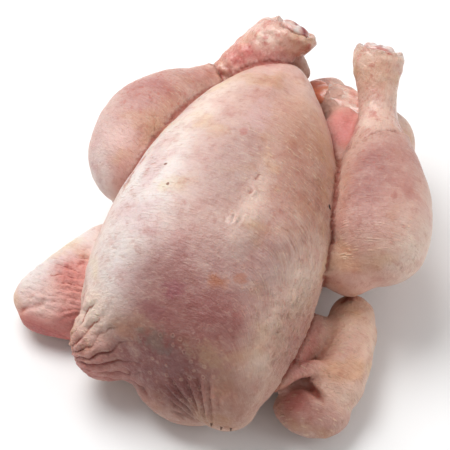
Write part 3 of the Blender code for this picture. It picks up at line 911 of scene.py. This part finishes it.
sore = span_node(tree, cells_node(tree, place, 2.6 * MM, 1.0), 0.42, 0.18)
sore = sum_node(tree, "MULTIPLY", sore, follicle_amount)
sore = sum_node(tree, "MULTIPLY", sore, span_node(tree, blotches, 0.35, 0.6))
colour = mix_node(tree, sum_node(tree, "MULTIPLY", sore, 0.8), colour, "#b4584a")
slit = span_node(tree, cells_node(tree, lines, 2.1 * MM, 1.0), 0.26, 0.1)
slit = sum_node(tree, "MULTIPLY", slit, span_node(tree, noise_node(tree, place, 6 * MM), 0.46, 0.56))
slit = sum_node(tree, "MULTIPLY", slit, pore_amount)
colour = mix_node(tree, sum_node(tree, "MULTIPLY", slit, 0.6), colour, "#b8694c")
# Painted shade: the skin is darkened and reddened in the creases and pleat valleys, and where two masses meet.
colour = mix_node(tree, span_node(tree, crease_shade_amount, 0.1, 0.9, 0, 0.85), colour, "#ba6c58", "MULTIPLY")
veins = noise_node(tree, place, 4.5 * MM, 5, 0.62)
red = sum_node(tree, "MULTIPLY", span_node(tree, veins, 0.5, 0.68), bare_amount)
colour = mix_node(tree, sum_node(tree, "MULTIPLY", red, 0.45), colour, "#bb4a48")
pale = sum_node(tree, "MULTIPLY", span_node(tree, veins, 0.46, 0.34), bare_amount)
colour = mix_node(tree, sum_node(tree, "MULTIPLY", pale, 0.22), colour, "#edd3c0")
MARKS = [
    ((20, -68, 92), (3.8, 2.6, 4.0), "#96502e", 0.6), ((20, -68, 92), (6.0, 4.2, 5.5), "#b07050", 0.4), ((31, -63, 92), (3.4, 2.8, 4), "#a8603e", 0.45),
    ((-28, -13, 102), (1.1, 1.1, 1.1), "#804830", 0.9), ((-21, -27, 104), (0.9, 0.9, 0.9), "#804830", 0.9),
    ((-23, -29, 104), (1.6, 0.6, 1.0), "#8a5244", 0.7), ((-48, -16, 85), (1.6, 8, 4), "#b4684c", 0.6),
    ((-45, -3, 88), (1.4, 4, 2.5), "#b4684c", 0.5), ((55, 8, 78), (1.5, 1.5, 2.0), "#2e1f1b", 1.0),
    # The next line's first mark, the dark spot at (12, 110, 55), is painted shadow at the edge of the hollow
    # beside the belly fat.
    ((12, 110, 55), (1.6, 2.0, 1.6), "#5c2a22", 0.9), ((4, 17, 107), (2.5, 4, 2.5), "#b0625a", 0.45),
    ((17, -37, 104), (2.8, 5.5, 2.5), "#e2c6ba", 0.6), ((6, 40, 106), (7, 22, 6), "#c8a0a2", 0.35),
    ((86, 20, 85), (2.0, 4.0, 2.0), "#a0554c", 0.5), ((-1, -90, 62), (12, 9, 9), "#6d5e50", 0.5),
    ((1, -77, 87), (6, 5, 5), "#8c4550", 0.55), ((-9, -86, 77), (11, 5, 5), "#85454a", 0.5),
    ((10, -96, 56), (10, 8, 14), "#6e4444", 0.35), ((-20, -90, 60), (8, 7, 6), "#b07a62", 0.35),
    ((26, -92, 66), (12, 8, 8), "#b39070", 0.35), ((36, -98, 54), (7, 8, 12), "#9a6a4c", 0.35),
]
for middle, radii, mark_colour, strength in MARKS:
    offset = add_node(tree, "ShaderNodeVectorMath", {"operation": "SUBTRACT"}, {0: place})
    offset.inputs[1].default_value = Vector(middle) * UNIT + Vector(KEEL_POINT)
    scaled = add_node(tree, "ShaderNodeVectorMath", {"operation": "DIVIDE"}, {0: offset.outputs["Vector"]})
    scaled.inputs[1].default_value = Vector(radii) * UNIT
    gap = add_node(tree, "ShaderNodeVectorMath", {"operation": "LENGTH"}, {0: scaled.outputs["Vector"]})
    ragged = sum_node(tree, "ADD", gap.outputs["Value"], span_node(tree, blotches, 0.3, 0.7, -0.35, 0.35))
    colour = mix_node(tree, span_node(tree, ragged, 1.15, 0.6, 0, strength), colour, mark_colour)
tree.links.new(shader.inputs["Base Color"], colour)

crumpled = noise_node(tree, place, 2.4 * MM, 4, 0.65)
normal = bump_node(tree, sum_node(tree, "MULTIPLY", crumpled, crumple_amount), 2.2 * MM)
normal = bump_node(tree, fibres, 0.26 * MM, normal)
normal = bump_node(tree, hairline, -0.2 * MM, normal)
normal = bump_node(tree, noise_node(tree, place, 2.0 * MM, 4, 0.6), 0.5 * MM, normal)
normal = bump_node(tree, ring, 0.3 * MM, normal)
normal = bump_node(tree, slit, -0.2 * MM, normal)
normal = bump_node(tree, dots, 0.3 * MM, normal)
tree.links.new(shader.inputs["Normal"], normal)
rough = span_node(tree, noise_node(tree, place, 1.5 * MM, 3), 0.3, 0.7, 0.34, 0.52)
wet = sum_node(tree, "MULTIPLY", bare_amount, 0.16)
tree.links.new(shader.inputs["Roughness"], sum_node(tree, "SUBTRACT", rough, wet))
shader.inputs["Subsurface Weight"].default_value = 0.2
shader.inputs["Subsurface Radius"].default_value = (1.0, 0.35, 0.2)
shader.inputs["Subsurface Scale"].default_value = 1.2 * MM
tree.links.new(shader.inputs["Coat Weight"], sum_node(tree, "MULTIPLY", bare_amount, 0.35))
shader.inputs["Coat Roughness"].default_value = 0.22
skin.data.materials.clear()
skin.data.materials.append(raw_skin)

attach(skin, "root")
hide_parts("chicken")

# Hock joints. The white gristle that caps the shin bones, bared by the cut: two rounded
# heads side by side in each leg, wet and blood-stained, grown fast to the flesh round them.
def one_lump(name, lumps, grid):
    """Add a closed lump of flesh from overlapping balls: a middle, radii and three directions."""
    parts = []
    bpy.ops.object.select_all(action="DESELECT")
    for middle, radii, axes in lumps:
        bpy.ops.mesh.primitive_uv_sphere_add(segments=40, ring_count=24, radius=1)
        part = bpy.context.object
        points = np.array([vertex.co for vertex in part.data.vertices]) * np.array(radii, float)
        points = np.array(middle, float) + points @ np.array(axes, float)
        part.data.vertices.foreach_set("co", (points * UNIT + KEEL_POINT).ravel())
        parts.append(part)
    for part in parts:
        part.select_set(True)
    bpy.context.view_layer.objects.active = parts[0]
    bpy.ops.object.join()
    lump = bpy.context.object
    lump.name = name
    lump.data.name = name
    modifier = lump.modifiers.new("one_lump", "REMESH")
    modifier.mode = "VOXEL"
    modifier.voxel_size = grid
    bpy.ops.object.modifier_apply(modifier=modifier.name)
    modifier = lump.modifiers.new("soften", "SMOOTH")
    modifier.factor = 0.5
    modifier.iterations = 3
    bpy.ops.object.modifier_apply(modifier=modifier.name)
    bpy.ops.object.shade_smooth()
    return lump


def roughen(piece, scale, height, seed):
    """Push the points of a piece in and out by smooth noise, sizes in station units."""
    shift = Vector((seed, seed * 3.1, seed * 0.7))
    moved = []
    for vertex in piece.data.vertices:
        depth = noise.noise(vertex.co / (scale * UNIT) + shift)
        moved.append(vertex.co + vertex.normal * depth * height * UNIT)
    piece.data.vertices.foreach_set("co", np.array(moved).ravel())
    piece.data.update()


joint_gristle = bpy.data.materials.new("joint_gristle")
joint_gristle.use_nodes = True
tree = joint_gristle.node_tree
shader = tree.nodes["Principled BSDF"]
place = add_node(tree, "ShaderNodeTexCoord").outputs["Object"]
clouds = noise_node(tree, place, 5 * MM, 4, 0.6)
colour = mix_node(tree, span_node(tree, clouds, 0.35, 0.65), "#d2c4be", "#d8b4a8")
stain = noise_node(tree, place, 8 * MM, 3, 0.5)
colour = mix_node(tree, span_node(tree, stain, 0.42, 0.68, 0, 0.7), colour, "#b0605a")
streaks = noise_node(tree, place, 1.2 * MM, 3, 0.6)
colour = mix_node(tree, span_node(tree, streaks, 0.6, 0.75, 0, 0.5), colour, "#c98079")
slit = sum_node(tree, "MULTIPLY", attribute_node(tree, "slit").outputs["Fac"], span_node(tree, stain, 0.3, 0.5))
colour = mix_node(tree, sum_node(tree, "MULTIPLY", slit, 0.9), colour, "#7c2228")
tree.links.new(shader.inputs["Base Color"], colour)
tree.links.new(shader.inputs["Normal"], bump_node(tree, streaks, 0.15 * MM))
shader.inputs["Roughness"].default_value = 0.28
shader.inputs["Subsurface Weight"].default_value = 0.5
shader.inputs["Subsurface Radius"].default_value = (1.0, 0.7, 0.6)
shader.inputs["Subsurface Scale"].default_value = 1.5 * MM
shader.inputs["Coat Weight"].default_value = 0.5
shader.inputs["Coat Roughness"].default_value = 0.12

for name, (middle, facing, side, aloft) in zip(("right_hock_joint", "left_hock_joint"), hocks):
    axes = [side, aloft, facing]
    back = middle - 1.4 * facing
    joint = one_lump(name, [
        (back + 4.2 * side + 0.5 * aloft, (4.8, 6.6, 3.0), axes),
        (back - 4.4 * side + 0.3 * aloft, (4.6, 6.2, 3.2), axes),
        (back + 0.2 * side - 3.4 * aloft, (3.6, 3.4, 2.6), axes),
        (back + 0.4 * side + 6.0 * aloft, (6.5, 2.6, 2.4), axes),
    ], 0.5 * MM)
    roughen(joint, 4.0, 0.7, 4.0 if name.startswith("right") else 9.0)
    ends = np.array([vertex.co for vertex in joint.data.vertices])
    height = (ends - KEEL_POINT) / UNIT @ aloft - back @ aloft
    attribute = joint.data.attributes.new("slit", "FLOAT", "POINT")
    attribute.data.foreach_set("value", np.exp(-((height + 0.4) / 1.3) ** 2).astype(np.float32))
    joint.data.materials.clear()
    joint.data.materials.append(joint_gristle)
    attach(joint, "root")

# Belly fat. Soft orange fat lies in the fold between the breast tip and the right thigh,
# with a torn pale web of tissue stretched from it to the shank.
belly_fat = one_lump("belly_fat", [
    ((17, 110, 54), (8, 7, 5.5), np.eye(3)),
    ((23, 107, 56), (9, 7, 5.0), np.eye(3)),
], 0.6 * MM)
roughen(belly_fat, 7.0, 0.6, 2.0)
soft_fat = bpy.data.materials.new("soft_fat")
soft_fat.use_nodes = True
tree = soft_fat.node_tree
shader = tree.nodes["Principled BSDF"]
place = add_node(tree, "ShaderNodeTexCoord").outputs["Object"]
clouds = noise_node(tree, place, 6 * MM, 4, 0.6)
colour = mix_node(tree, span_node(tree, clouds, 0.38, 0.62), "#e09a80", "#e4b8a0")
split = add_node(tree, "ShaderNodeSeparateXYZ", links={"Vector": place})
inner = span_node(tree, split.outputs["X"], 21 * MM, 13 * MM)
colour = mix_node(tree, sum_node(tree, "MULTIPLY", inner, 0.75), colour, "#e88056")
lobules = cells_node(tree, place, 1.6 * MM)
colour = mix_node(tree, span_node(tree, lobules, 0.3, 0.65, 0, 0.3), colour, "#c0695a")
tree.links.new(shader.inputs["Base Color"], colour)
tree.links.new(shader.inputs["Normal"], bump_node(tree, lobules, -0.15 * MM))
shader.inputs["Roughness"].default_value = 0.3
shader.inputs["Subsurface Weight"].default_value = 0.5
shader.inputs["Subsurface Radius"].default_value = (1.0, 0.45, 0.2)
shader.inputs["Subsurface Scale"].default_value = 2 * MM
shader.inputs["Coat Weight"].default_value = 0.4
shader.inputs["Coat Roughness"].default_value = 0.15
belly_fat.data.materials.clear()
belly_fat.data.materials.append(soft_fat)
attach(belly_fat, "root")

bpy.ops.object.select_all(action="DESELECT")
bpy.ops.mesh.primitive_grid_add(x_subdivisions=44, y_subdivisions=26, size=2)
web = bpy.context.object
web.name = "tissue_web"
web.data.name = "tissue_web"
points = np.array([vertex.co for vertex in web.data.vertices])
u, v = (points[:, 0] + 1) / 2, (points[:, 1] + 1) / 2
top_edge = through([0, 0.5, 1], [(22, 114, 61), (34, 109, 64), (50, 101, 70)], u)
low_edge = through([0, 0.5, 1], [(27, 99, 61), (36, 95, 63), (50, 90, 66)], u)
points = low_edge + (top_edge - low_edge) * v[:, None]
sag = np.sin(math.pi * v) * np.sin(math.pi * u)
points[:, 2] -= 1.2 * sag
strands = np.array([noise.noise(Vector((a * 2.0, b * 9.0, 1.5))) for a, b in zip(u, v)])
points[:, 2] += 0.8 * strands
points[:, 1] += 0.8 * np.array([noise.noise(Vector((a * 5.0, b * 3.0, 7.5))) for a, b in zip(u, v)])
for number, share in enumerate(v):
    spot = Vector(points[number] * UNIT + KEEL_POINT)
    found, at, outwards, face = skin.closest_point_on_mesh(spot)
    hold = max(0.0, 1 - share / 0.4) ** 2
    points[number] += hold * (np.array(at - 1.0 * MM * outwards - Vector(KEEL_POINT)) / UNIT - points[number])
web.data.vertices.foreach_set("co", (points * UNIT + KEEL_POINT).ravel())
web.data.update()
modifier = web.modifiers.new("thickness", "SOLIDIFY")
modifier.thickness = 0.8 * MM
modifier.offset = 0
bpy.ops.object.modifier_apply(modifier=modifier.name)
bpy.ops.object.shade_smooth()
torn_tissue = bpy.data.materials.new("torn_tissue")
torn_tissue.use_nodes = True
tree = torn_tissue.node_tree
shader = tree.nodes["Principled BSDF"]
place = add_node(tree, "ShaderNodeTexCoord").outputs["Object"]
clouds = noise_node(tree, place, 4 * MM, 5, 0.65)
colour = mix_node(tree, span_node(tree, clouds, 0.38, 0.62), "#cf9c8e", "#dcc2b4")
colour = mix_node(tree, span_node(tree, noise_node(tree, place, 2 * MM, 4), 0.55, 0.7, 0, 0.6), colour, "#cd8478")
tree.links.new(shader.inputs["Base Color"], colour)
tree.links.new(shader.inputs["Normal"], bump_node(tree, clouds, 0.4 * MM))
shader.inputs["Roughness"].default_value = 0.25
shader.inputs["Subsurface Weight"].default_value = 0.7
shader.inputs["Subsurface Radius"].default_value = (1.0, 0.5, 0.4)
shader.inputs["Subsurface Scale"].default_value = 2 * MM
shader.inputs["Coat Weight"].default_value = 0.5
shader.inputs["Coat Roughness"].default_value = 0.12
web.data.materials.clear()
web.data.materials.append(torn_tissue)
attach(web, "root")

# Feather stubs. Broken pin feathers left in the skin: dark horny points at the neck end,
# each rooted in its follicle.
quill_horn = bpy.data.materials.new("quill_horn")
quill_horn.use_nodes = True
tree = quill_horn.node_tree
shader = tree.nodes["Principled BSDF"]
place = add_node(tree, "ShaderNodeTexCoord").outputs["Object"]
bands = noise_node(tree, place, 0.5 * MM, 3)
tree.links.new(shader.inputs["Base Color"], mix_node(tree, bands, "#5a4237", "#94705c"))
shader.inputs["Roughness"].default_value = 0.4
STUBS = [
    ((33, -113.5, 29), 1.3), ((38, -113.5, 28), 1.5), ((43, -111, 28), 1.3),
]
for number, (spot, length) in enumerate(STUBS):
    found, at, outwards, face = skin.closest_point_on_mesh(Vector(spot) * UNIT + Vector(KEEL_POINT))
    bpy.ops.object.select_all(action="DESELECT")
    bpy.ops.mesh.primitive_cone_add(vertices=12, radius1=1.1 * UNIT, radius2=0.3 * UNIT,
                                    depth=(length + 1.5) * UNIT)
    stub = bpy.context.object
    stub.name = f"feather_stub_{number + 1}"
    stub.data.name = stub.name
    turn_to = outwards.to_track_quat("Z", "Y").to_matrix()
    for vertex in stub.data.vertices:
        lift = vertex.co.z / (length * UNIT)
        bent = Vector((vertex.co.x + 0.2 * UNIT * lift * lift, vertex.co.y, vertex.co.z))
        vertex.co = at + turn_to @ (bent + Vector((0, 0, (length / 2 - 0.75) * UNIT)))
    bpy.ops.object.shade_smooth()
    stub.data.materials.clear()
    stub.data.materials.append(quill_horn)
    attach(stub, "root")

# Floor and light. A plain white surface under soft studio light: a large soft box from the
# tail end on the bird's left, and white all round it.
bpy.ops.mesh.primitive_plane_add(size=6, location=(0, 0, -0.0002))
floor = bpy.context.object
floor.name = "floor"
FRONT_GLOW = 0.36
BACK_GLOW = 0.5
white_floor = bpy.data.materials.new("white_floor")
white_floor.use_nodes = True
floor_shader = white_floor.node_tree.nodes["Principled BSDF"]
floor_shader.inputs["Base Color"].default_value = (0.9, 0.9, 0.9, 1)
floor_shader.inputs["Roughness"].default_value = 0.9
floor.data.materials.append(white_floor)

world = bpy.data.worlds.new("studio")
bpy.context.scene.world = world
world.use_nodes = True
sky = world.node_tree
way = add_node(sky, "ShaderNodeTexCoord")
split = add_node(sky, "ShaderNodeSeparateXYZ", links={"Vector": way.outputs["Generated"]})
depth = add_node(sky, "ShaderNodeMapRange", links={"Value": split.outputs["Y"]},
                 From_Min=-0.7, From_Max=0.7, To_Min=FRONT_GLOW, To_Max=BACK_GLOW)
sky.links.new(sky.nodes["Background"].inputs["Strength"], depth.outputs["Result"])
sky.nodes["Background"].inputs["Color"].default_value = (1, 1, 1, 1)


def soft_box(name, place, size, power):
    """Add a square area light that faces the bird."""
    data = bpy.data.lights.new(name, "AREA")
    data.energy = power
    data.size = size
    light = bpy.data.objects.new(name, data)
    bpy.context.scene.collection.objects.link(light)
    light.location = place
    light.rotation_mode = "QUATERNION"
    light.rotation_quaternion = (Vector(place) - Vector((0, 0, 0.05))).to_track_quat("Z", "Y")
    return light


soft_box("key", (-0.5, 0.2, 1.1), 0.8, 14)
soft_box("fill", (1.0, 0.15, 0.5), 0.8, 3)
bpy.context.scene.view_settings.view_transform = "Standard"
